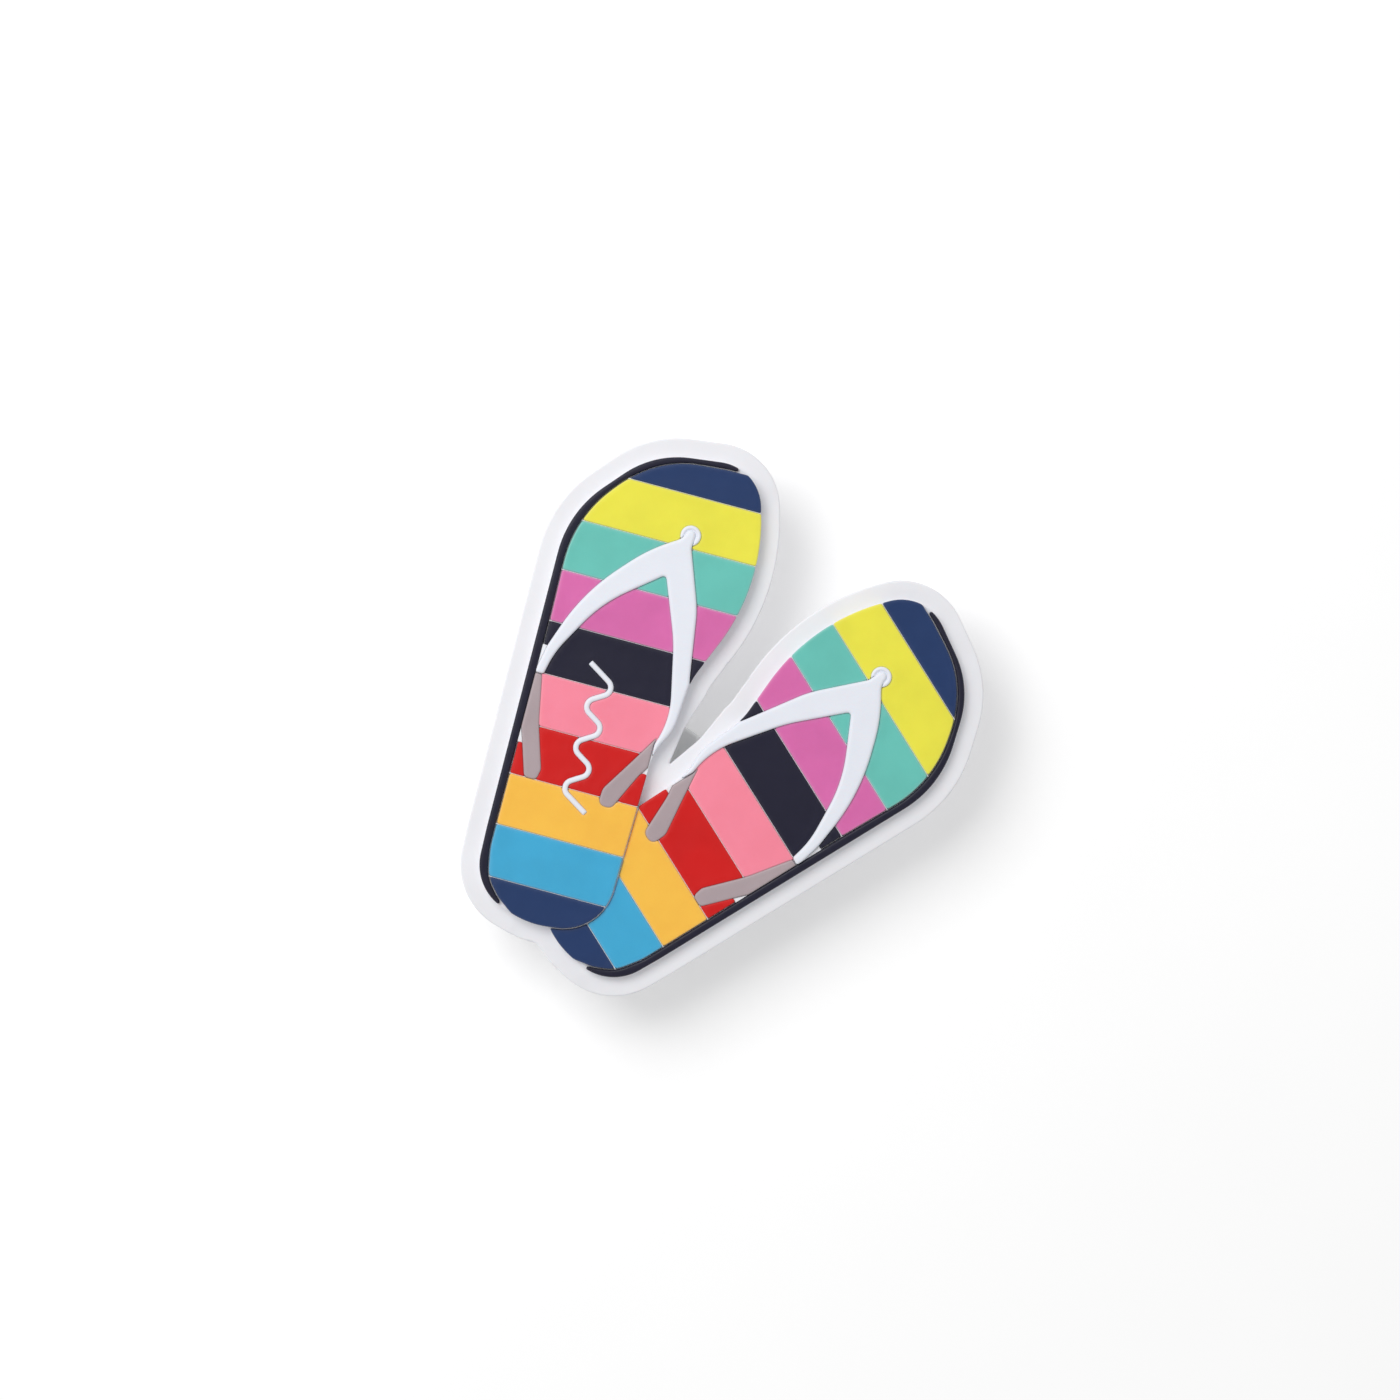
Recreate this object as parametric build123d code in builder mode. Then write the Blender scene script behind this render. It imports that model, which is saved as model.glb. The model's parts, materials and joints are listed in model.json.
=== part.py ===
"""Snap-in charm: a pair of striped flip-flops in soft moulded PVC.

The charm plugs into a round hole of a perforated tote.  A white backing carries two
raised soles with ten poured stripes each, a rim, a thong strap and its tails.  A hard peg
is bonded in the back, and a button pushed onto the peg from behind holds the panel.

Frame, in mm: the origin is on the peg's axis at the back face, +Z points out of the
charm's face and +Y runs from the heels to the toes between the two soles.
A sole's own frame has its origin at the heel end, x towards the big toe and y to the toes.
"""

from build123d import *
from math import cos, radians, sin
import os

os.makedirs("parts", exist_ok=True)

# ---------------------------------------------------------------- driving dimensions
# How the soles lie: mirror images across the YZ plane, with crossed heels.
half_splay = 21.5  # lean of each sole away from +Y, degrees
heel_back = 18.4  # heel end behind the peg's axis
heel_side = 1.6  # heel end beside the YZ plane

# The backing
plate_thick = 2.4
border_width = 2.65  # white border outside the soles
nick_round = 0.6  # corner radius where the borders meet at the heels
notch_tip = 28.1  # tip of the notch between the toes, from the heel ends
notch_shoulder = 33.4  # where the notch has opened to its half width
notch_half_width = 1.3
notch_mouth_half = 1.75  # half width at its end
notch_end = 44.0  # well inside the open gap
notch_round = 0.08
notch_bend = 7.0
plate_edge_round = 0.3

# The soles, stacked so that the left one lies over the right one
right_bed_rise = 0.7  # bed of the lower sole above the plate
left_bed_rise = 1.3  # bed of the upper sole above the plate
stripe_thick = 0.8
stripe_count = 10
heel_stripe = 4.8  # length of the first stripe, at the heel
stripe_pitch = 7.1
rib_width = 0.1  # white wall between two stripes
rib_drop = 0.25  # top of that wall below the stripes
lap_wall = 0.2  # white wall round the upper sole, where it crosses the lower one
seam = 0.04  # gap between pieces that lie side by side
rim_gap = 0.2  # gap between the rim and the stripes
rim_tip_round = 0.18  # the rim's tips, and the thinnest half width that it keeps
rim_toe_end = 10.6  # x of its tip at the toes
rim_heel_end = -5.5  # x of its tip at the heel

# What stands on or between the stripes
rim_drop = 0.1
strap_rise = 0.45
tail_rise = 0.08
eyelet_rise = 0.3
eyelet_at = (6.65, 56.25)
eyelet_outer = 1.4
eyelet_inner = 0.85
wave_rise = 0.25
wave_depth = 0.4  # how deep the wave sits in the stripes
wave_line = 0.75
wave_at = (0.3, 16.3)  # lower end of the wave's centre line
wave_reach = 2.3  # centre line to either side
wave_step = 2.85  # from one turn to the next
wave_turns = 8
wave_bend = 1.15

# The fastener
panel_thick = 5.0  # tote panel that the charm holds
boss_radius = 7.6  # fills the tote's hole
flange_lip = 1.0  # flange beyond the boss, all round
flange_thick = 1.0
bond_gap = 0.05  # glue line round the flange
post_radius = 4.0
bead_lip = 0.35  # bead beyond the post, all round
bead_height = 0.7
post_tip_gap = 0.5  # post's end above the button's foot
running_gap = 0.06  # bead in the button's bore
button_radius = 15.2
button_thick = 4.8
button_edge = 0.7
button_wall = 2.4  # rim of the button, outside the groove in its foot
hub_wall = 1.6  # between that groove and the bead's seat
groove_depth = 2.2
button_ribs = 8
button_rib_width = 1.2
bead_seat_gap = 0.45  # room round the bead in its seat
bead_seat_depth = 1.4

# Outlines in a sole's own frame: x, y and corner radius of each corner
sole_corners = [
    (8.8, 1.1, 7.0),
    (-0.8, 0.0, 12.0),
    (-9.5, 2.4, 6.9),
    (-9.8, 11.0, 30.0),
    (-10.2, 55.2, 15.1),
    (-1.0, 65.8, 12.9),
    (13.3, 67.6, 6.2),
    (17.8, 52.0, 27.5),
    (11.7, 37.4, 9.0),
    (11.2, 30.2, 7.0),
    (9.3, 26.8, 8.4),
]
strap_corners = [
    (6.2, 57.0, 0.6),
    (5.7, 55.6, 2.4),
    (1.9, 53.3, 23.0),
    (-5.3, 45.3, 28.0),
    (-8.25, 36.9, 6.0),
    (-9.0, 33.1, 0.0),
    (-7.7, 33.1, 0.3),
    (-7.1, 36.2, 13.2),
    (-2.6, 44.3, 19.9),
    (4.8, 50.3, 0.4),
    (8.1, 41.9, 22.5),
    (10.4, 31.4, 11.6),
    (9.2, 27.8, 0.3),
    (9.3, 26.2, 0.0),
    (11.9, 30.2, 2.0),
    (12.2, 34.0, 3.0),
    (11.5, 37.7, 4.0),
    (10.1, 46.8, 15.8),
    (7.2, 54.6, 0.3),
    (7.3, 57.0, 0.6),
]
# The rim lies outside this line, which runs from the toes round the outer side to the heel.
rim_inner_line = [
    (24.0, 66.5, 0.0),
    (9.0, 66.25, 8.0),
    (1.5, 65.6, 14.0),
    (-3.7, 61.7, 17.0),
    (-9.3, 54.5, 17.0),
    (-8.9, 39.8, 40.0),
    (-8.75, 8.6, 10.0),
    (-8.0, 4.6, 5.5),
    (-5.9, 2.2, 6.0),
    (-3.0, 0.1, 0.0),
]
rim_inner_close = [(-3.0, -4.0, 0.0), (24.0, -4.0, 0.0)]
outer_tail_corners = [
    (-10.4, 33.0, 0.0),
    (-7.9, 33.0, 0.3),
    (-6.65, 26.6, 20.0),
    (-4.7, 20.5, 1.2),
    (-5.0, 19.0, 0.6),
    (-6.7, 19.0, 0.6),
    (-8.3, 24.0, 6.0),
    (-10.4, 30.0, 0.0),
]
inner_tail_corners = [
    (9.42, 28.95, 0.05),
    (6.9, 24.8, 6.0),
    (4.0, 20.2, 1.6),
    (3.9, 17.9, 0.9),
    (5.8, 17.9, 0.9),
    (8.2, 23.0, 5.0),
    (9.15, 24.5, 0.3),
    (9.12, 27.75, 0.3),
]
# White patches of the backing that show beside the tails and the strap's outer end
outer_patch = [(-10.4, 23.4, 0.0), (-7.6, 23.4, 0.0), (-7.6, 26.1, 0.0), (-10.4, 26.1, 0.0)]
strap_patch = [(-10.4, 33.0, 0.0), (-8.0, 33.0, 0.0), (-8.0, 37.0, 0.0), (-10.4, 37.0, 0.0)]
inner_patch = [
    (8.5, 23.5, 0.0),
    (10.4, 23.5, 0.0),
    (10.4, 27.9, 0.0),
    (9.0, 27.9, 0.0),
    (9.0, 25.0, 0.0),
    (8.5, 25.0, 0.0),
]

# ---------------------------------------------------------------- worked-out sizes
right_bed = plate_thick + right_bed_rise
left_bed = plate_thick + left_bed_rise
right_top = right_bed + stripe_thick
left_top = left_bed + stripe_thick
flange_radius = boss_radius + flange_lip
bead_radius = post_radius + bead_lip
bead_seat_radius = bead_radius + bead_seat_gap
groove_inner = bead_seat_radius + hub_wall
groove_outer = button_radius - button_wall
button_foot = -panel_thick - button_thick
post_end = button_foot + post_tip_gap
wide = 60.0  # wider than a sole, for bands that cross it


def sole_plane(height):
    """The left sole's own frame, at a height above the back face."""
    lean = radians(half_splay)
    return Plane(
        origin=(-heel_side, -heel_back, height),
        x_dir=(cos(lean), sin(lean), 0),
        z_dir=(0, 0, 1),
    )


def flat_outline(corners, grow=0.0):
    """A flat face inside a rounded polygon, grown outwards by a gap."""
    with BuildSketch() as flat:
        with BuildLine():
            FilletPolyline(
                *[(x, y) for x, y, _ in corners],
                radius=[r for _, _, r in corners],
                close=True,
            )
        make_face()
        if grow:
            offset(amount=grow)
    return flat.sketch


def band(low, high):
    """A band across the sole between two distances from the heel end."""
    with BuildSketch() as flat:
        with Locations((0, (low + high) / 2)):
            Rectangle(wide, high - low)
    return flat.sketch


def stripe_line(number):
    """Distance of the boundary above the numbered stripe from the heel end."""
    return heel_stripe + (number - 1) * stripe_pitch


def combine(first, added=(), cut=(), kept=None):
    """A flat region: one outline with others added, then cut, then intersected."""
    with BuildSketch() as flat:
        add(first)
        for other in added:
            add(other)
        for other in cut:
            add(other, mode=Mode.SUBTRACT)
        if kept is not None:
            add(kept, mode=Mode.INTERSECT)
    return flat.sketch


# ---------------------------------------------------------------- outlines of a sole
sole_flat = flat_outline(sole_corners)
inside_rim = flat_outline(rim_inner_line + rim_inner_close)
rim_reach = flat_outline(
    [
        (-wide, -wide, 0.0),
        (rim_heel_end, -wide, 0.0),
        (rim_heel_end, 30.0, 0.0),
        (rim_toe_end, 30.0, 0.0),
        (rim_toe_end, wide + 30.0, 0.0),
        (-wide, wide + 30.0, 0.0),
    ]
)
with BuildSketch() as rim:
    add(combine(sole_flat, cut=[inside_rim], kept=rim_reach))
    offset(amount=-rim_tip_round)
    offset(amount=rim_tip_round)
rim_flat = rim.sketch
bounded = combine(sole_flat, kept=flat_outline(rim_inner_line + rim_inner_close, -seam))
stripe_bounds = combine(sole_flat, kept=flat_outline(rim_inner_line + rim_inner_close, -rim_gap))

strap_flat = combine(flat_outline(strap_corners), kept=bounded)
outer_tail_flat = combine(flat_outline(outer_tail_corners), kept=bounded)
inner_tail_flat = combine(flat_outline(inner_tail_corners), kept=bounded)
with BuildSketch() as eyelet:
    with Locations(eyelet_at):
        Circle(eyelet_outer)
        Circle(eyelet_inner, mode=Mode.SUBTRACT)
    add(flat_outline(strap_corners, seam), mode=Mode.SUBTRACT)
eyelet_flat = eyelet.sketch
with BuildSketch() as eyelet_room:
    with Locations(eyelet_at):
        Circle(eyelet_outer + seam)

# What the stripes and ribs leave free
raised_rooms = [
    flat_outline(strap_corners, seam),
    flat_outline(outer_tail_corners, seam),
    flat_outline(inner_tail_corners, seam),
    eyelet_room.sketch,
]
patches = [flat_outline(patch) for patch in (outer_patch, strap_patch, inner_patch)]
patches_flat = combine(patches[0], added=patches[1:], kept=bounded)
patches_flat = combine(patches_flat, cut=raised_rooms)


def stripe_flat(number):
    """The stripe's outline, from one white wall to the next and clear of what is raised."""
    gap = rib_width / 2 + seam
    low = stripe_line(number - 1) + gap if number > 1 else -wide
    high = stripe_line(number) - gap if number < stripe_count else stripe_line(number) + wide
    return combine(stripe_bounds, cut=raised_rooms + patches, kept=band(low, high))


def ribs_flat():
    """The white walls between stripes."""
    walls = [
        band(stripe_line(n) - rib_width / 2, stripe_line(n) + rib_width / 2)
        for n in range(1, stripe_count)
    ]
    return combine(combine(walls[0], added=walls[1:]), cut=raised_rooms + patches, kept=bounded)


def wave_flat(grow=0.0):
    """A line that swings from side to side up the sole, with round turns."""
    x, y = wave_at
    turns = [(x + wave_reach * (-1) ** n, y + n * wave_step) for n in range(wave_turns)]
    with BuildSketch() as flat:
        with BuildLine():
            FilletPolyline(*turns, radius=wave_bend)
        trace(line_width=wave_line + 2 * grow)
    return flat.sketch


# ---------------------------------------------------------------- the moulded charm
with BuildPart() as upper_sole_room:
    with BuildSketch(sole_plane(plate_thick)):
        add(flat_outline(sole_corners, lap_wall + seam))
    extrude(amount=wide)


def raised_prism(flat, low, high, lower_sole):
    """A prism on the left sole, or its mirror image on the right sole, cut by the left one."""
    with BuildPart() as piece:
        with BuildSketch(sole_plane(low)):
            add(flat)
        extrude(amount=high - low)
        if lower_sole:
            mirror(about=Plane.YZ, mode=Mode.REPLACE)
            add(upper_sole_room.part, mode=Mode.SUBTRACT)
    return piece.part


def write(piece, name):
    """Label a finished piece and write its STEP file."""
    piece.label = name
    export_step(piece, f"parts/{name}.step")
    print(f"{name:24s} solids {len(piece.solids())}  volume {piece.volume:9.2f}")


# White backing: border plate, the two stacked beds, the walls between the stripes, the
# patches beside the tails, the wall round the upper sole, and the peg's pocket.
with BuildSketch(sole_plane(0)) as left_outline:
    add(sole_flat)
notch_flat = flat_outline(
    [
        (0.0, notch_tip - heel_back, notch_round),
        (notch_half_width, notch_shoulder - heel_back, notch_bend),
        (notch_mouth_half, notch_end - heel_back, 0.0),
        (-notch_mouth_half, notch_end - heel_back, 0.0),
        (-notch_half_width, notch_shoulder - heel_back, notch_bend),
    ]
)
with BuildSketch() as border:
    add(left_outline.sketch)
    mirror(about=Plane.YZ)
    offset(amount=border_width + nick_round)
    offset(amount=-nick_round)
    add(notch_flat, mode=Mode.SUBTRACT)
with BuildPart() as lower_sole_whole:
    with BuildSketch(sole_plane(0)):
        add(sole_flat)
    extrude(amount=right_top)
    mirror(about=Plane.YZ, mode=Mode.REPLACE)
with BuildPart() as lap:
    with BuildSketch(sole_plane(plate_thick / 2)):
        add(flat_outline(sole_corners, lap_wall))
        add(sole_flat, mode=Mode.SUBTRACT)
    extrude(amount=right_top - rib_drop - plate_thick / 2)
    add(lower_sole_whole.part, mode=Mode.INTERSECT)
wave_room = raised_prism(wave_flat(seam), left_top - wave_depth, left_top, lower_sole=False)

with BuildPart() as backing:
    with BuildSketch():
        add(border.sketch)
    extrude(amount=plate_thick)
    fillet(backing.edges().group_by(Axis.Z)[-1], radius=plate_edge_round)
    fillet(backing.edges().group_by(Axis.Z)[0], radius=plate_edge_round)
    add(raised_prism(sole_flat, plate_thick / 2, left_bed, lower_sole=False))
    add(raised_prism(sole_flat, plate_thick / 2, right_bed, lower_sole=True))
    add(lap.part)
    for walls in (ribs_flat(), patches_flat):
        add(raised_prism(walls, left_bed, left_top - rib_drop, lower_sole=False))
        add(raised_prism(walls, right_bed, right_top - rib_drop, lower_sole=True))
    add(wave_room, mode=Mode.SUBTRACT)
    with BuildSketch():
        Circle(flange_radius + bond_gap)
    extrude(amount=flange_thick, mode=Mode.SUBTRACT)
write(backing.part, "backing_base")

# Everything that lies on the two beds
for side, bed, top, lower_sole in (
    ("left", left_bed, left_top, False),
    ("right", right_bed, right_top, True),
):
    for number in range(1, stripe_count + 1):
        with BuildPart() as stripe:
            add(raised_prism(stripe_flat(number), bed, top, lower_sole))
            if not lower_sole:
                add(wave_room, mode=Mode.SUBTRACT)
        write(stripe.part, f"{side}_stripe_{number:02d}")
    write(raised_prism(rim_flat, bed, top - rim_drop, lower_sole), f"{side}_rim")
    write(raised_prism(strap_flat, bed, top + strap_rise, lower_sole), f"{side}_strap")
    write(raised_prism(outer_tail_flat, bed, top + tail_rise, lower_sole), f"{side}_outer_tail")
    write(raised_prism(inner_tail_flat, bed, top + tail_rise, lower_sole), f"{side}_inner_tail")
    write(raised_prism(eyelet_flat, bed, top + eyelet_rise, lower_sole), f"{side}_eyelet")
write(
    raised_prism(wave_flat(), left_top - wave_depth, left_top + wave_rise, lower_sole=False),
    "wave_motif",
)

# ---------------------------------------------------------------- the fastener
# Hard peg: a flange bonded in the back, the boss that fills the tote's hole, and the post.
with BuildPart() as peg:
    with BuildSketch():
        Circle(flange_radius)
    extrude(amount=flange_thick)
    with BuildSketch():
        Circle(boss_radius)
    extrude(amount=-panel_thick)
    with BuildSketch(Plane.XY.offset(-panel_thick)):
        Circle(post_radius)
    extrude(amount=post_end + panel_thick)
    with BuildSketch(Plane.XY.offset(post_end)):
        Circle(bead_radius)
    extrude(amount=bead_height)
    chamfer(peg.edges().group_by(Axis.Z)[0], length=bead_lip)
write(peg.part, "snap_peg")

# Button: a stiff disc with the post's bore, a seat for the bead, and ribs in its foot.
with BuildPart() as button:
    with BuildSketch(Plane.XY.offset(-panel_thick)):
        Circle(button_radius)
    extrude(amount=-button_thick)
    fillet(button.edges(), radius=button_edge)
    with BuildSketch(Plane.XY.offset(button_foot)):
        Circle(groove_outer)
        Circle(groove_inner, mode=Mode.SUBTRACT)
        with PolarLocations((groove_inner + groove_outer) / 2, button_ribs):
            Rectangle(2 * (groove_outer - groove_inner), button_rib_width, mode=Mode.SUBTRACT)
    extrude(amount=groove_depth, mode=Mode.SUBTRACT)
    with BuildSketch(Plane.XY.offset(-panel_thick)):
        Circle(bead_radius + running_gap)
    extrude(amount=-button_thick, mode=Mode.SUBTRACT)
    with BuildSketch(Plane.XY.offset(button_foot)):
        Circle(bead_seat_radius)
    extrude(amount=bead_seat_depth, mode=Mode.SUBTRACT)
write(button.part, "back_button")
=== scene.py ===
"""Looks of a snap-in charm: a pair of striped flip-flops poured in soft PVC.

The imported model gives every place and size.  Each poured colour, rim, strap, tail and ring is a
new closed shell over its own CAD outline, with the rounded lip that soft PVC sets with.  The
row frame is in metres; sizes in the classes are in millimetres and MM turns them into metres.
"""

import json
import logging
from dataclasses import dataclass, field
from enum import Enum
from math import ceil, cos, log2, radians, sin

import bpy
import numpy as np
from mathutils.geometry import delaunay_2d_cdt
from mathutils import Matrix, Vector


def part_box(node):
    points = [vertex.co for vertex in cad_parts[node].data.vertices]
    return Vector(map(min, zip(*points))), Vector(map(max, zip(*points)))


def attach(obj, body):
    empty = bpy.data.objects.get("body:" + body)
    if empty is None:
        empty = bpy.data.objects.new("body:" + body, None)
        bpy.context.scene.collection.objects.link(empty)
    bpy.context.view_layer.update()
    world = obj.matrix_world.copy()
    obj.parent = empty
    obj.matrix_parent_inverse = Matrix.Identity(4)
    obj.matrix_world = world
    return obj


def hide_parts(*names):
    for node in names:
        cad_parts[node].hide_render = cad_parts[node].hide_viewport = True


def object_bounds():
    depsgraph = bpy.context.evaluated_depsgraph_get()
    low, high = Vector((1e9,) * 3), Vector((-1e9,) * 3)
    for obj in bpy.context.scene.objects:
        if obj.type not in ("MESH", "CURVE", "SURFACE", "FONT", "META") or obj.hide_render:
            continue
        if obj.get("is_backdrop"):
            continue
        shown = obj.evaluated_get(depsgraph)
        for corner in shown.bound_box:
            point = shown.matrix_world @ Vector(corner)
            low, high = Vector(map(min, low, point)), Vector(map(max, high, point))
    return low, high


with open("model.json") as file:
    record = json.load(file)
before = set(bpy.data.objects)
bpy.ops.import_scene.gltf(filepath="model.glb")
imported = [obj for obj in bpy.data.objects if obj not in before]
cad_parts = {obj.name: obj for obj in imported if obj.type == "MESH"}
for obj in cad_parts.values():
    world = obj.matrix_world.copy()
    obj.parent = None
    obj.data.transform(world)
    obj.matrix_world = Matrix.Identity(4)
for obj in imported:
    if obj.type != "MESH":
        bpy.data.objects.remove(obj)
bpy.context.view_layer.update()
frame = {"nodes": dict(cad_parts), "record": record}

MM = 0.001
DISPLAY_MAX = 255  # brightest level of a display colour
FLAT_TOLERANCE = 0.001  # mm, how level the corners of a top face are
SPOT_DIGITS = 4  # decimals of a mm to which points are taken as one
MERGE_DISTANCE = 1e-7  # mm, within which the triangulation takes points as one
TINY = 1e-12  # floor of a divisor
PAIRS_AT_ONCE = 2_000_000  # point and edge pairs handled in one array
FEWEST_STEPS = 12  # points of the smallest loop
ROW_RATIO = 0.866  # distance between the rows of a hexagon grid, of its step
RING_SLACK = 0.96  # share of its own distance that a lip point keeps from the border
CELL_CLEARANCE = 0.35  # of a grid step, between the lip and the points inside
RIPPLES = ((1.9, 0.7, 0.0), (-1.1, 2.3, 1.0), (0.8, -1.3, 2.0))  # radians per mm in X and Y, phase
Colour = tuple[float, float, float, float]
Paint = Colour | bpy.types.NodeSocket
log = logging.getLogger("charm")


class Side(Enum):
    """The two sandals; the left one lies over the right one."""

    LEFT = "left"
    RIGHT = "right"


# ---------------------------------------------------------------- colours and finishes
def linear(red: int, green: int, blue: int) -> Colour:
    """Turn a display colour of 0 to 255 into the linear colour that a shader takes.

    The curve is the standard one: a short straight part, then an offset power of 2.4.

    Args:
        red: Red, 0 to 255.
        green: Green, 0 to 255.
        blue: Blue, 0 to 255.

    Returns:
        The linear colour with an alpha of 1.
    """
    display = np.array([red, green, blue]) / DISPLAY_MAX
    light = np.where(display <= 0.04045, display / 12.92, ((display + 0.055) / 1.055) ** 2.4)
    return (*light.tolist(), 1.0)


@dataclass
class Shader:
    """A node tree under construction: a Principled shader and the nodes that feed it."""

    name: str
    material: bpy.types.Material = field(init=False)

    def __post_init__(self) -> None:
        """Make the material with an empty tree, its output and its Principled shader."""
        self.material = bpy.data.materials.new(self.name)
        self.material.use_nodes = True
        self.tree = self.material.node_tree
        self.tree.nodes.clear()
        self.principled = self.tree.nodes.new("ShaderNodeBsdfPrincipled")
        output = self.tree.nodes.new("ShaderNodeOutputMaterial")
        self.link(self.principled.outputs["BSDF"], output.inputs["Surface"])
        self.place = self.tree.nodes.new("ShaderNodeTexCoord").outputs["Object"]

    def link(self, source: bpy.types.NodeSocket, target: bpy.types.NodeSocket) -> None:
        """Join one socket to another."""
        self.tree.links.new(source, target)

    def set(self, **values: float | tuple[float, ...]) -> None:
        """Set the shader's own sockets; an underscore in a name stands for a blank."""
        for name, value in values.items():
            self.principled.inputs[name.replace("_", " ")].default_value = value

    def noise(self, size: float, detail: float,
              stretch: tuple[float, ...] = ()) -> bpy.types.NodeSocket:
        """Add a noise on Object coordinates.

        Args:
            size: Width of one lump, in mm.
            detail: Octaves of the noise.
            stretch: Factors that squeeze the pattern along X, Y and Z, or nothing.

        Returns:
            The noise's value, about 0 to 1.
        """
        node = self.tree.nodes.new("ShaderNodeTexNoise")
        node.inputs["Scale"].default_value = 1 / (size * MM)
        node.inputs["Detail"].default_value = detail
        source = self.place
        if stretch:
            mapping = self.tree.nodes.new("ShaderNodeMapping")
            mapping.inputs["Scale"].default_value = stretch
            self.link(source, mapping.inputs["Vector"])
            source = mapping.outputs["Vector"]
        self.link(source, node.inputs["Vector"])
        return node.outputs["Fac"]

    def ranged(self, value: bpy.types.NodeSocket, low: float, high: float,
               source: tuple[float, float] = (0.3, 0.7)) -> bpy.types.NodeSocket:
        """Map a value smoothly from a source range to low and high.

        Args:
            value: The socket to map.
            low: Result at the start of the source range.
            high: Result at its end.
            source: The source range.

        Returns:
            The mapped value.
        """
        node = self.tree.nodes.new("ShaderNodeMapRange")
        node.interpolation_type = "SMOOTHSTEP"
        self.link(value, node.inputs["Value"])
        node.inputs["From Min"].default_value, node.inputs["From Max"].default_value = source
        node.inputs["To Min"].default_value = low
        node.inputs["To Max"].default_value = high
        return node.outputs["Result"]

    def mixed(self, share: bpy.types.NodeSocket, first: Paint, second: Paint) -> bpy.types.NodeSocket:
        """Mix two colours, each a linear colour or a socket, by a share of 0 to 1."""
        node = self.tree.nodes.new("ShaderNodeMix")
        node.data_type = "RGBA"
        self.link(share, node.inputs["Factor"])
        for value, end in ((first, "A"), (second, "B")):
            target = next(s for s in node.inputs if s.name == end and s.type == "RGBA")
            if isinstance(value, tuple):
                target.default_value = value
            else:
                self.link(value, target)
        return next(s for s in node.outputs if s.type == "RGBA")

    def bumps(self, *layers: tuple[bpy.types.NodeSocket, float]) -> None:
        """Stack bumps, each a height socket and its depth in mm, on the shader's normal."""
        below = None
        for height, depth in layers:
            node = self.tree.nodes.new("ShaderNodeBump")
            node.inputs["Distance"].default_value = depth * MM
            self.link(height, node.inputs["Height"])
            if below is not None:
                self.link(below, node.inputs["Normal"])
            below = node.outputs["Normal"]
        self.link(below, self.principled.inputs["Normal"])


def shaded(colour: Colour, factor: float) -> Colour:
    """Multiply a linear colour by a factor and keep its alpha."""
    red, green, blue = (min(1.0, c * factor) for c in colour[:3])
    return (red, green, blue, 1.0)


def tinted(colour: Colour, other: Colour, share: float) -> Colour:
    """Mix a share of another linear colour into one."""
    return tuple(c + (o - c) * share for c, o in zip(colour, other))


# Colour mixed into each pour at its lip as a painted highlight.
LIP_HIGHLIGHT_WHITE = (0.9, 0.9, 0.9, 1.0)


@dataclass(frozen=True)
class SoftPvc:
    """Poured soft PVC: satin, slightly cloudy, and paler towards its lip, where white is mixed in as a
    painted highlight on the rounded edge.

    Attributes:
        colour: Linear colour of the pour.
        edge: Share of white mixed in at the lip, as a painted highlight.
        roughness: Middle roughness.
        grain: Depth of the mould's fine texture, in mm.
        cloud: How far the cloudiness swings the brightness.
        cloud_size: Width of a cloud, in mm.
        sheen_size: Width of a patch of even roughness, in mm.
        sheen: Least and greatest change of roughness.
        swell: Width and depth of the broad unevenness, in mm.
        grain_size: Width of the fine texture's lumps, in mm.
        pore_size: Width of the pores between them, in mm.
        pore_share: Depth of the pores, as a share of the grain.
        scatter: Distance that light travels in the plastic, in mm.
    """

    colour: Colour
    edge: float = 0.1
    roughness: float = 0.46
    grain: float = 0.006
    cloud: float = 0.035
    cloud_size: float = 6.0
    sheen_size: float = 1.4
    sheen: tuple[float, float] = (-0.05, 0.07)
    swell: tuple[float, float] = (2.6, 0.03)
    grain_size: float = 0.32
    pore_size: float = 0.09
    pore_share: float = 0.35
    scatter: float = 0.35

    def material(self, name: str) -> bpy.types.Material:
        """Build the material.

        Args:
            name: Name of the material.

        Returns:
            The finished material.
        """
        shader = Shader(name)
        clouds = shader.ranged(shader.noise(self.cloud_size, 3), 0, 1)
        body = shader.mixed(clouds, shaded(self.colour, 1 - self.cloud), shaded(self.colour, 1 + self.cloud))
        # Paler towards the border: a painted highlight along the rounded lip.
        lip = shader.tree.nodes.new("ShaderNodeAttribute")
        lip.attribute_name = "lip"
        rim = shader.ranged(lip.outputs["Fac"], 0, 1, (0.15, 1.0))
        shader.link(shader.mixed(rim, body, tinted(self.colour, LIP_HIGHLIGHT_WHITE, self.edge)),
                    shader.principled.inputs["Base Color"])
        smooth, rough = (self.roughness + change for change in self.sheen)
        shader.link(shader.ranged(shader.noise(self.sheen_size, 4), smooth, rough),
                    shader.principled.inputs["Roughness"])
        swell_size, swell_depth = self.swell
        shader.bumps((shader.noise(swell_size, 2), swell_depth),
                     (shader.noise(self.grain_size, 3), self.grain),
                     (shader.noise(self.pore_size, 1), self.grain * self.pore_share))
        shader.set(IOR=1.5, Specular_IOR_Level=0.26, Subsurface_Weight=0.12,
                   Subsurface_Radius=(1.0, 0.7, 0.6), Subsurface_Scale=self.scatter * MM)
        return shader.material


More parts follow.
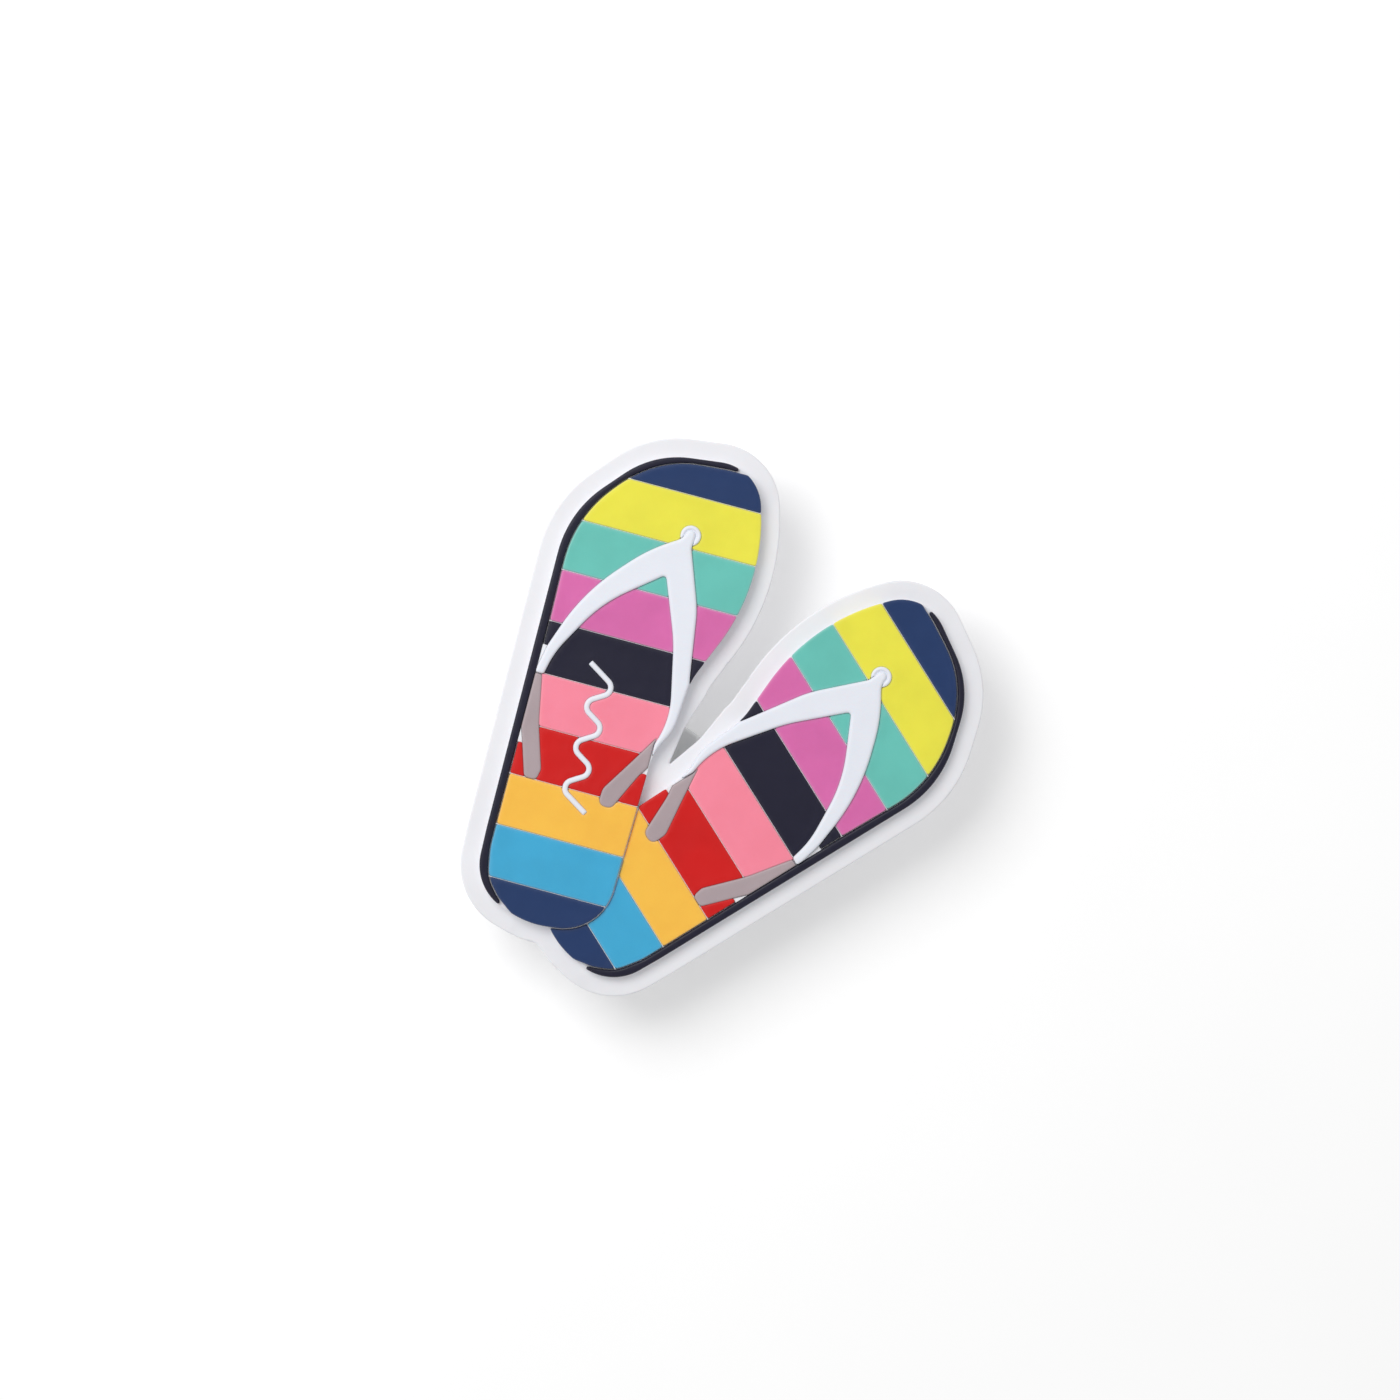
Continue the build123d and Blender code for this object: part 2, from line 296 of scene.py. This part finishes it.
@dataclass(frozen=True)
class HardPlastic:
    """Injection-moulded hard plastic with a fine spark-eroded texture and faint scuffs.

    Attributes:
        colour: Linear colour.
        roughness: Middle roughness.
        tone_size: Width of a patch of even tone, in mm.
        tone: Least and greatest brightness of the patches.
        scuff_size: Width of a scuff, in mm.
        scuffing: Least and greatest change of roughness.
        scuff_depth: Depth of a scuff, in mm.
        grain: Width and depth of the spark-eroded texture, in mm.
        scatter: Distance that light travels in the plastic, in mm.
    """

    colour: Colour
    roughness: float = 0.34
    tone_size: float = 9.0
    tone: tuple[float, float] = (0.96, 1.02)
    scuff_size: float = 0.5
    scuffing: tuple[float, float] = (-0.04, 0.16)
    scuff_depth: float = 0.002
    grain: tuple[float, float] = (0.16, 0.004)
    scatter: float = 0.4

    def material(self, name: str) -> bpy.types.Material:
        """Build the material.

        Args:
            name: Name of the material.

        Returns:
            The finished material.
        """
        shader = Shader(name)
        patches = shader.ranged(shader.noise(self.tone_size, 2), 0, 1)
        dark, bright = (shaded(self.colour, factor) for factor in self.tone)
        shader.link(shader.mixed(patches, dark, bright), shader.principled.inputs["Base Color"])
        scuffs = shader.noise(self.scuff_size, 5, (1.0, 9.0, 1.0))
        smooth, rough = (self.roughness + change for change in self.scuffing)
        shader.link(shader.ranged(scuffs, smooth, rough, (0.35, 0.75)), shader.principled.inputs["Roughness"])
        grain_size, grain_depth = self.grain
        shader.bumps((shader.noise(grain_size, 2), grain_depth), (scuffs, self.scuff_depth))
        shader.set(IOR=1.53, Specular_IOR_Level=0.5, Subsurface_Weight=0.08,
                   Subsurface_Radius=(1.0, 0.9, 0.8), Subsurface_Scale=self.scatter * MM)
        return shader.material


class Finish(Enum):
    """Finish of each material slot in the record, keyed by the slot's name."""

    # The second number of each soft finish is its share of painted highlight at the lip.
    WHITE_BACKING = ("white_backing", SoftPvc(linear(240, 240, 244), 0.0, 0.5, 0.008, 0.012))
    NAVY = ("navy_stripe", SoftPvc(linear(28, 55, 102), 0.04))
    BLUE = ("blue_stripe", SoftPvc(linear(64, 171, 214), 0.12))
    ORANGE = ("orange_stripe", SoftPvc(linear(255, 194, 74), 0.12))
    RED = ("red_stripe", SoftPvc(linear(210, 14, 12), 0.03))
    PINK = ("pink_stripe", SoftPvc(linear(255, 140, 162), 0.18))
    INK = ("ink_stripe", SoftPvc(linear(24, 23, 46), 0.03))
    ORCHID = ("orchid_stripe", SoftPvc(linear(219, 108, 174), 0.2))
    TEAL = ("teal_stripe", SoftPvc(linear(106, 197, 185), 0.2))
    YELLOW = ("yellow_stripe", SoftPvc(linear(238, 231, 72), 0.12))
    INK_RIM = ("ink_rim", SoftPvc(linear(24, 23, 45), 0.02, 0.38))
    WHITE_STRAP = ("white_strap", SoftPvc(linear(236, 239, 248), 0.0, 0.44, 0.005, 0.01))
    GREY_TAIL = ("grey_tail", SoftPvc(linear(176, 160, 164), 0.08))
    PEG_PLASTIC = ("peg_plastic", HardPlastic(linear(238, 238, 235)))
    BUTTON_PLASTIC = ("button_plastic", HardPlastic(linear(234, 235, 234), 0.38))

    def __init__(self, slot: str, recipe: SoftPvc | HardPlastic) -> None:
        """Keep the slot's name and the recipe of its finish."""
        self.slot = slot
        self.recipe = recipe

    def material(self) -> bpy.types.Material:
        """Return the slot's material, made on its first use."""
        name = f"finish_{self.slot}"
        return bpy.data.materials.get(name) or self.recipe.material(name)


def finish_of(node: str) -> Finish:
    """Return the finish that the record names for a CAD node."""
    slot = next(s["material_slot"] for s in frame["record"]["subparts"] if s["node"] == node)
    return next(f for f in Finish if f.slot == slot)


# ---------------------------------------------------------------- outlines
def triangles_of(node: str) -> tuple[np.ndarray, np.ndarray]:
    """Read a CAD node's mesh.

    Args:
        node: Name of the node.

    Returns:
        Its points in mm, and its triangles as rows of three point numbers.
    """
    mesh = frame["nodes"][node].data
    mesh.calc_loop_triangles()
    points = np.empty(len(mesh.vertices) * 3, np.float32)
    mesh.vertices.foreach_get("co", points)
    corners = np.empty(len(mesh.loop_triangles) * 3, np.int32)
    mesh.loop_triangles.foreach_get("vertices", corners)
    return points.reshape(-1, 3).astype(float) / MM, corners.reshape(-1, 3)


def ordered_loops(edges: np.ndarray) -> list[np.ndarray]:
    """Put directed edges in order round their closed loops.

    Each point's lowest successor, found by doubling the step again and again, names its loop.
    A second doubling counts the steps from each point to that lowest one, which gives its order.

    Args:
        edges: Rows of two point numbers, each point once as a start and once as an end.

    Returns:
        The point numbers of each loop, in order.
    """
    starts = edges[:, 0]
    place = np.full(edges.max() + 1, -1)
    place[starts] = np.arange(len(starts))
    step = place[edges[:, 1]]
    rounds = ceil(log2(len(starts))) + 1
    lowest = np.arange(len(starts))
    jump = step.copy()
    for _ in range(rounds):
        lowest = np.minimum(lowest, lowest[jump])
        jump = jump[jump]
    first = lowest == np.arange(len(starts))
    jump = np.where(first, np.arange(len(starts)), step)
    left = np.where(first, 0, 1)
    for _ in range(rounds):
        left = left + left[jump]
        jump = jump[jump]
    left[first] = len(starts)
    order = np.lexsort((-left, lowest))
    breaks = np.flatnonzero(np.diff(lowest[order])) + 1
    return [starts[part] for part in np.split(order, breaks)]


def top_outline(node: str) -> tuple[list[np.ndarray], float]:
    """Find the loops round a CAD node's top face.

    An edge of the top face's triangles whose reverse is in no other triangle is on a border.
    Outer borders run anticlockwise seen from above and holes run clockwise, so the material
    is always on the left.

    Args:
        node: Name of the node.

    Returns:
        The loops' points in mm, and the height of the top face in mm.
    """
    points, corners = triangles_of(node)
    top = points[:, 2].max()
    flat = corners[(points[corners, 2] > top - FLAT_TOLERANCE).all(axis=1)]
    spots, number = np.unique(np.round(points[:, :2], SPOT_DIGITS), axis=0, return_inverse=True)
    flat = number.reshape(-1)[flat]
    edges = np.concatenate([flat[:, [0, 1]], flat[:, [1, 2]], flat[:, [2, 0]]])
    forward = edges[:, 0] * len(spots) + edges[:, 1]
    backward = edges[:, 1] * len(spots) + edges[:, 0]
    border = edges[~np.isin(forward, backward)]
    return [spots[loop] for loop in ordered_loops(border)], float(top)


def evenly_spaced(loop: np.ndarray, spacing: float) -> np.ndarray:
    """Place points at equal distances along a closed loop.

    Args:
        loop: The loop's points.
        spacing: Distance between points, in mm.

    Returns:
        The new points, at least FEWEST_STEPS of them.
    """
    closed = np.vstack([loop, loop[:1]])
    travel = np.concatenate([[0.0], np.cumsum(np.linalg.norm(np.diff(closed, axis=0), axis=1))])
    count = max(FEWEST_STEPS, round(travel[-1] / spacing))
    stops = np.arange(count) * travel[-1] / count
    return np.column_stack([np.interp(stops, travel, closed[:, k]) for k in (0, 1)])


def eased(loop: np.ndarray, passes: int) -> np.ndarray:
    """Round a loop's corners: each pass moves a point halfway to the middle of its neighbours."""
    for _ in range(passes):
        loop = (np.roll(loop, 1, axis=0) + 2 * loop + np.roll(loop, -1, axis=0)) / 4
    return loop


@dataclass
class Outline:
    """The plan of a piece: closed loops with the material on their left.

    Attributes:
        loops: Points of each loop, in mm.
    """

    loops: list[np.ndarray]

    def __post_init__(self) -> None:
        """Join the loops into one array of points and one of edges."""
        self.points = np.vstack(self.loops)
        starts = np.cumsum([0] + [len(loop) for loop in self.loops[:-1]])
        self.edges = np.vstack([
            start + np.column_stack([np.arange(len(loop)), np.roll(np.arange(len(loop)), -1)])
            for start, loop in zip(starts, self.loops)
        ])

    def inward(self) -> np.ndarray:
        """Return the unit direction into the material at each point.

        It is the chord between a point's two neighbours, turned a quarter to the left.
        """
        begin, end = self.points[self.edges[:, 0]], self.points[self.edges[:, 1]]
        chords = np.zeros_like(self.points)
        chords[self.edges[:, 0]] += end - begin
        chords[self.edges[:, 1]] += end - begin
        left = np.column_stack([-chords[:, 1], chords[:, 0]])
        return left / np.maximum(np.linalg.norm(left, axis=1, keepdims=True), TINY)

    def blocks(self, points: np.ndarray) -> list[np.ndarray]:
        """Split the numbers of the points into blocks that bound the arrays of point and edge pairs."""
        return np.array_split(np.arange(len(points)), max(1, len(points) * len(self.edges) // PAIRS_AT_ONCE))

    def distance(self, points: np.ndarray) -> np.ndarray:
        """Return each point's distance to the nearest edge, in mm."""
        near = np.empty(len(points))
        begin, end = self.points[self.edges[:, 0]], self.points[self.edges[:, 1]]
        along = end - begin
        length = np.maximum((along ** 2).sum(axis=1), TINY)
        for part in self.blocks(points):
            offset = points[part, None, :] - begin
            share = np.clip((offset * along).sum(axis=2) / length, 0, 1)
            near[part] = np.sqrt(((offset - share[..., None] * along) ** 2).sum(axis=2).min(axis=1))
        return near

    def holds(self, points: np.ndarray) -> np.ndarray:
        """Tell which points are in the material: a ray to +X crosses the border an odd number of times."""
        inside = np.empty(len(points), bool)
        begin, end = self.points[self.edges[:, 0]], self.points[self.edges[:, 1]]
        rise = end[:, 1] - begin[:, 1]
        slope = (end[:, 0] - begin[:, 0]) / np.where(np.abs(rise) < TINY, TINY, rise)
        for part in self.blocks(points):
            x, y = points[part, 0, None], points[part, 1, None]
            straddles = (begin[:, 1] > y) != (end[:, 1] > y)
            inside[part] = (straddles & (x < begin[:, 0] + (y - begin[:, 1]) * slope)).sum(axis=1) % 2 == 1
        return inside

    def triangles(self, points: np.ndarray) -> np.ndarray:
        """Join the border's points and further points into triangles.

        Four points far around the piece keep thin triangles off its border.  A triangle on the
        border is kept if it lies on the border's left, any other one if its middle is in the
        material.

        Args:
            points: The border's points first, then those inside.

        Returns:
            Rows of three point numbers, anticlockwise seen from above.
        """
        count = len(points)
        low, high = points.min(axis=0), points.max(axis=0)
        around = np.array([low, high, (low[0], high[1]), (high[0], low[1])]) * 3 - (low + high)
        spots = np.vstack([points, around]).tolist()
        found = delaunay_2d_cdt(spots, self.edges.tolist(), [], 0, MERGE_DISTANCE)
        origin = np.array([sources[0] if sources else -1 for sources in found[3]])
        corners = origin[np.array(found[2])]
        corners = corners[(corners >= 0).all(axis=1) & (corners < count).all(axis=1)]
        sides = corners * count + np.roll(corners, -1, axis=1)
        along = np.isin(sides, self.edges[:, 0] * count + self.edges[:, 1]).any(axis=1)
        against = np.isin(sides, self.edges[:, 1] * count + self.edges[:, 0]).any(axis=1)
        inside = self.holds(points[corners].mean(axis=1))
        return corners[np.where(along | against, along, inside)]


def hexagon_grid(low: np.ndarray, high: np.ndarray, spacing: float) -> np.ndarray:
    """Cover a rectangle with points in rows that are half a step apart."""
    rows = np.arange(low[1], high[1], spacing * ROW_RATIO)
    columns = np.arange(low[0], high[0], spacing)
    x, y = np.meshgrid(columns, rows)
    return np.column_stack([(x + (np.arange(len(rows)) % 2)[:, None] * spacing / 2).ravel(), y.ravel()])


# ---------------------------------------------------------------- moulded shells
@dataclass(frozen=True)
class Mould:
    """How a poured piece stands over its plan.

    The top is a function of the distance d from the plan's border.  Over the lip, of width w
    and drop h, it is a quarter of an ellipse: top - h (1 - sqrt(1 - (1 - d/w)^2)).  Beyond the
    lip it sinks by a smooth step, as a pour does when it cures, and ripples very slightly.

    Attributes:
        lip: Width of the rounded edge in plan, in mm.
        drop: Height that the rounded edge falls, in mm.
        sink: How far the middle lies below the top of the lip, in mm.
        reach: Width of the band in which it sinks, in mm.
        ripple: Height of the long waves in the surface, in mm.
        grow: How far the pour spreads over its mould wall, past the plan, in mm.
        easing: Passes that round the corners of the plan.
        spacing: Distance between points of the border, in mm.
        grid: Distance between points inside, in mm.
        rings: Rings of points over the lip.
    """

    lip: float = 0.22
    drop: float = 0.22
    sink: float = 0.03
    reach: float = 1.2
    ripple: float = 0.012
    grow: float = 0.0
    easing: int = 3
    spacing: float = 0.13
    grid: float = 0.7
    rings: int = 5

    def height(self, points: np.ndarray, distance: np.ndarray, top: float) -> np.ndarray:
        """Return the height over each point of the plan, in mm.

        The ripple is the mean of three crossed sine waves, from 0 down to twice its height.
        """
        outer = np.clip(1 - distance / self.lip, 0, 1)
        step = np.clip((distance - self.lip) / self.reach, 0, 1)
        step = step * step * (3 - 2 * step)
        x, y = points[:, 0], points[:, 1]
        waves = sum(np.sin(across * x + along * y + phase) for across, along, phase in RIPPLES)
        swell = self.ripple * step * (waves / len(RIPPLES) - 1)
        return top - self.drop * (1 - np.sqrt(1 - outer ** 2)) - self.sink * step + swell

    def shell(self, name: str, node: str) -> None:
        """Make the closed shell of one CAD node and let it stand for the node.

        Args:
            name: Name of the new piece.
            node: CAD node whose top outline and underside it keeps.
        """
        loops, top = top_outline(node)
        outline = Outline([eased(evenly_spaced(loop, self.spacing), self.easing) for loop in loops])
        outline.points -= outline.inward() * self.grow
        border = outline.points
        inward = outline.inward()
        angles = np.radians(90) * np.arange(1, self.rings + 1) / self.rings
        widths = self.lip * (1 - np.cos(angles))
        rings = np.vstack([border + inward * width for width in widths])
        clear = outline.distance(rings) > RING_SLACK * np.repeat(widths, len(border))
        rings = rings[clear & outline.holds(rings)]
        cells = hexagon_grid(border.min(axis=0), border.max(axis=0), self.grid)
        cells = cells[outline.holds(cells)]
        cells = cells[outline.distance(cells) > self.lip + CELL_CLEARANCE * self.grid]
        plan = np.vstack([border, rings, cells])
        distance = np.concatenate([np.zeros(len(border)), outline.distance(plan[len(border):])])
        upper = np.column_stack([plan, self.height(plan, distance, top)])
        lower = np.column_stack([border, np.full(len(border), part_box(node)[0].z / MM)])
        begin, end = outline.edges[:, 0], outline.edges[:, 1]
        under = len(plan)
        walls = np.concatenate([
            np.column_stack([under + begin, under + end, end]),
            np.column_stack([under + begin, end, begin]),
        ])
        faces = np.concatenate([outline.triangles(plan), walls, under + outline.triangles(border)[:, ::-1]])
        piece = new_piece(name, np.vstack([upper, lower]), faces)
        # Nearness to the border; the finish paints its highlight along the lip by it.
        lip_highlight = np.exp(-np.concatenate([distance, np.zeros(len(border))]) / self.lip)
        piece.data.attributes.new("lip", "FLOAT", "POINT").data.foreach_set("value", lip_highlight.astype(np.float32))
        settle(piece, "charm", finish_of(node))
        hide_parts(node)


def new_piece(name: str, points: np.ndarray, faces: np.ndarray, sharp: float = 40.0) -> bpy.types.Object:
    """Make a smooth-shaded object from arrays.

    Args:
        name: Name of the object and its mesh.
        points: Rows of x, y and z, in mm.
        faces: Rows of point numbers.
        sharp: Angle in degrees past which an edge stays sharp.

    Returns:
        The object, at the origin.
    """
    mesh = bpy.data.meshes.new(name)
    mesh.from_pydata((points * MM).tolist(), [], faces.tolist())
    mesh.validate()
    mesh.shade_smooth()
    mesh.set_sharp_from_angle(angle=radians(sharp))
    piece = bpy.data.objects.new(name, mesh)
    bpy.context.scene.collection.objects.link(piece)
    return piece


def settle(piece: bpy.types.Object, body: str, finish: Finish) -> None:
    """Give an object its finish as its only material, and let it ride on a CAD body."""
    piece.data.materials.clear()
    piece.data.materials.append(finish.material())
    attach(piece, body)
    log.info("%s: %d faces on %s", piece.name, len(piece.data.polygons), body)


def smooth_copy(name: str, node: str, body: str, sharp: float = 28.0) -> None:
    """Merge a copy of a CAD node's triangles, shade it smooth and let it stand for the node.

    Args:
        name: Name of the new piece.
        node: The CAD node.
        body: CAD body that it rides on.
        sharp: Angle in degrees past which an edge stays sharp.
    """
    points, corners = triangles_of(node)
    spots, number = np.unique(np.round(points, SPOT_DIGITS), axis=0, return_inverse=True)
    faces = number.reshape(-1)[corners]
    whole = (faces[:, 0] != faces[:, 1]) & (faces[:, 1] != faces[:, 2]) & (faces[:, 2] != faces[:, 0])
    piece = new_piece(name, spots, faces[whole], sharp)
    settle(piece, body, finish_of(node))
    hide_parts(node)


# ---------------------------------------------------------------- sub-assemblies
@dataclass
class Sandal:
    """One sandal: its ten poured stripes, rim, strap, tails and the ring at the toe.

    Attributes:
        side: Which of the two sandals it is.
        stripes: Number of stripes.
        stripe: Mould of a stripe.
        rim: Mould of the rim round the outer side.
        strap: Mould of the thong strap.
        tail: Mould of the grey tails.
        ring: Mould of the ring where the strap enters the sole.
        seat_radius: Radius of the dish inside the ring, in mm.
        seat_depth: Depth of that dish below the ring's top, in mm.
        seat_rise: Share of that depth by which the dish's edge stands higher than its middle.
        seat_rings: Rings of points in the dish.
        seat_spokes: Points in one ring.
    """

    side: Side
    stripes: int = 10
    stripe: Mould = Mould(grow=0.05, easing=4)
    rim: Mould = Mould(lip=0.3, drop=0.3, sink=0, ripple=0, easing=2, grid=0.4)
    strap: Mould = Mould(lip=0.42, drop=0.34, sink=0, ripple=0.006, grid=0.5, rings=6)
    tail: Mould = Mould(lip=0.3, drop=0.24, sink=0.02, ripple=0.005, easing=2, grid=0.5)
    ring: Mould = Mould(lip=0.26, drop=0.26, sink=0, ripple=0, easing=1, spacing=0.09, grid=0.3)
    seat_radius: float = 0.98
    seat_depth: float = 0.3
    seat_rise: float = 0.6
    seat_rings: int = 5
    seat_spokes: int = 36

    def build(self) -> None:
        """Make every piece of the sandal."""
        for number in range(1, self.stripes + 1):
            self.part(self.stripe, f"stripe_{number:02d}")
        for mould, what in ((self.rim, "rim"), (self.strap, "strap"), (self.tail, "outer_tail"),
                            (self.tail, "inner_tail"), (self.ring, "eyelet")):
            self.part(mould, what)
        self.post_seat()

    def part(self, mould: Mould, what: str) -> None:
        """Make one moulded piece from the CAD node of the same name."""
        node = f"{self.side.value}_{what}"
        mould.shell(f"poured_{node}", node)

    def post_seat(self) -> None:
        """Fill the ring with the shallow dish that the strap's post goes down into.

        The dish is a function of radius r and angle: it is deepest in the middle and rises as
        the square of r to just under the ring's top.  A skirt closes it below.
        """
        low, high = (np.array(corner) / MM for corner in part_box(f"{self.side.value}_eyelet"))
        centre = self.ring_centre()
        radii = np.linspace(0, self.seat_radius, self.seat_rings + 1)[1:]
        count = self.seat_spokes
        angles = np.radians(np.arange(count) * 360 / count)
        radius, angle = np.meshgrid(radii, angles, indexing="ij")
        rise = self.seat_rise * self.seat_depth
        height = high[2] - self.seat_depth + rise * (radius / self.seat_radius) ** 2
        x, y = centre[0] + radius * np.cos(angle), centre[1] + radius * np.sin(angle)
        dish = np.stack([x, y, height], axis=2)
        skirt = dish[-1] * [1, 1, 0] + [0, 0, low[2]]
        rows = np.concatenate([dish, skirt[None]]).reshape(-1, 3)
        poles = np.array([[*centre, high[2] - self.seat_depth], [*centre, low[2]]])
        here = np.arange(count)
        there = np.roll(here, -1)
        first = np.arange(len(radii))[:, None] * count
        near, far = (first + here).ravel(), (first + there).ravel()
        bands = np.concatenate([np.column_stack([near, near + count, far + count]),
                                np.column_stack([near, far + count, far])])
        middle = np.column_stack([np.full(count, len(rows)), here, there])
        last = len(radii) * count
        under = np.column_stack([np.full(count, len(rows) + 1), last + there, last + here])
        piece = new_piece(f"moulded_{self.side.value}_post_seat", np.vstack([rows, poles]),
                          np.concatenate([middle, bands, under]))
        settle(piece, "charm", Finish.WHITE_STRAP)

    def ring_centre(self) -> np.ndarray:
        """Return the centre of the ring, in mm, as that of the circle through its outermost points.

        For a circle, x^2 + y^2 = 2 a x + 2 b y + c, which least squares solve for a, b and c.
        """
        loops, _ = top_outline(f"{self.side.value}_eyelet")
        points = max(loops, key=len)
        middle = points.mean(axis=0)
        spread = np.linalg.norm(points - middle, axis=1)
        points = points[spread > np.median(spread)]
        terms = np.column_stack([2 * points, np.ones(len(points))])
        return np.linalg.lstsq(terms, (points ** 2).sum(axis=1), rcond=None)[0][:2]


@dataclass
class Backing:
    """The white backing with its beds and walls, and the wavy line on the left sandal.

    Attributes:
        wave: Mould of the wavy line.
    """

    wave: Mould = Mould(lip=0.33, drop=0.3, sink=0, ripple=0, easing=2, spacing=0.1, grid=0.4)

    def build(self) -> None:
        """Make the backing and the wavy line."""
        smooth_copy("moulded_backing", "backing_base", "charm")
        self.wave.shell("moulded_wave", "wave_motif")


@dataclass
class Fastener:
    """The hard peg in the back and the button that snaps on it."""

    def build(self) -> None:
        """Make the peg and the button."""
        smooth_copy("moulded_peg", "snap_peg", "charm")
        smooth_copy("moulded_button", "back_button", "button")


# ---------------------------------------------------------------- studio
@dataclass
class Studio:
    """Pale floor, soft light and a camera straight above the charm.

    Attributes:
        centre: Middle of the view in the row frame, in mm.
        turn: How far the camera's up direction is turned from +Y, in degrees.
        view_width: Width of the view at the charm's face, in mm.
        lens: Focal length, in mm.
        sensor: Sensor width, in mm.
        key_side: Direction from the charm towards the key light, in degrees from +X.
        key_rise: Height of the key light above the floor, in degrees.
        key_distance: Distance of the key light, in mm.
        key_size: Side of the square key light, in mm.
        key_power: Power of the key light, in watts.
        sky: Strength of the even white sky.
        glow: Light that the floor gives off itself, as on a lit table.
        floor_half: Half the floor's width, in mm.
        paper: Darkest and brightest tone of the floor.
        paper_cloud: Width of a patch of even tone, in mm.
    """

    centre: tuple[float, float] = (-1.83, 19.29)
    turn: float = 36.5
    view_width: float = 189.0
    lens: float = 135.0
    sensor: float = 36.0
    key_side: float = 171.5
    key_rise: float = 55.0
    key_distance: float = 600.0
    key_size: float = 380.0
    key_power: float = 1.95
    sky: float = 0.55
    glow: float = 0.15
    floor_half: float = 2000.0
    paper: tuple[float, float] = (0.955, 0.965)
    paper_cloud: float = 40.0

    def build(self) -> None:
        """Make the floor, the light and the camera."""
        self.floor()
        self.light()
        self.camera()

    def floor(self) -> None:
        """Lay a white floor under the charm's lowest point."""
        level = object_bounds()[0][2]
        half = self.floor_half * MM
        corners = [(-half, -half, level), (half, -half, level), (half, half, level), (-half, half, level)]
        mesh = bpy.data.meshes.new("studio_floor")
        mesh.from_pydata(corners, [], [(0, 1, 2, 3)])
        plane = bpy.data.objects.new("studio_floor", mesh)
        bpy.context.scene.collection.objects.link(plane)
        shader = Shader("studio_paper")
        patches = shader.ranged(shader.noise(self.paper_cloud, 2), 0, 1)
        dark, bright = ((tone, tone, tone, 1.0) for tone in self.paper)
        shader.link(shader.mixed(patches, dark, bright), shader.principled.inputs["Base Color"])
        shader.set(Roughness=0.9, Specular_IOR_Level=0.0, Emission_Color=(1.0, 1.0, 1.0, 1.0),
                   Emission_Strength=self.glow)
        mesh.materials.append(shader.material)
        plane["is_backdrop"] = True

    def light(self) -> None:
        """Set an even white sky and one large soft key light on the side of the left sandal."""
        world = bpy.data.worlds.new("studio_sky")
        bpy.context.scene.world = world
        world.use_nodes = True
        background = world.node_tree.nodes["Background"]
        background.inputs["Color"].default_value = (1.0, 1.0, 1.0, 1.0)
        background.inputs["Strength"].default_value = self.sky
        lamp = bpy.data.lights.new("key_light", "AREA")
        lamp.size = self.key_size * MM
        lamp.energy = self.key_power
        key = bpy.data.objects.new("key_light", lamp)
        side, rise = radians(self.key_side), radians(self.key_rise)
        toward = np.array([cos(side) * cos(rise), sin(side) * cos(rise), sin(rise)])
        target = np.array([*self.centre, 0.0])
        key.location = ((target + toward * self.key_distance) * MM).tolist()
        key.rotation_euler = (0.0, radians(90) - rise, side)
        bpy.context.scene.collection.objects.link(key)

    def camera(self) -> None:
        """Hang the camera so that the view is as wide as it should be at the charm's face."""
        data = bpy.data.cameras.new("camera")
        data.lens = self.lens
        data.sensor_width = self.sensor
        data.clip_start = 0.01
        camera = bpy.data.objects.new("camera", data)
        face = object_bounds()[1][2] / MM
        height = face + self.view_width * self.lens / self.sensor
        camera.location = (self.centre[0] * MM, self.centre[1] * MM, height * MM)
        camera.rotation_euler = (0.0, 0.0, radians(self.turn))
        bpy.context.scene.collection.objects.link(camera)
        bpy.context.scene.camera = camera
        bpy.context.scene.view_settings.view_transform = "Standard"


def main() -> None:
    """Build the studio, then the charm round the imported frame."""
    logging.basicConfig(level=logging.INFO, format="%(name)s %(message)s")
    Studio().build()
    Backing().build()
    for side in Side:
        Sandal(side).build()
    Fastener().build()


if __name__ == "__main__":
    main()
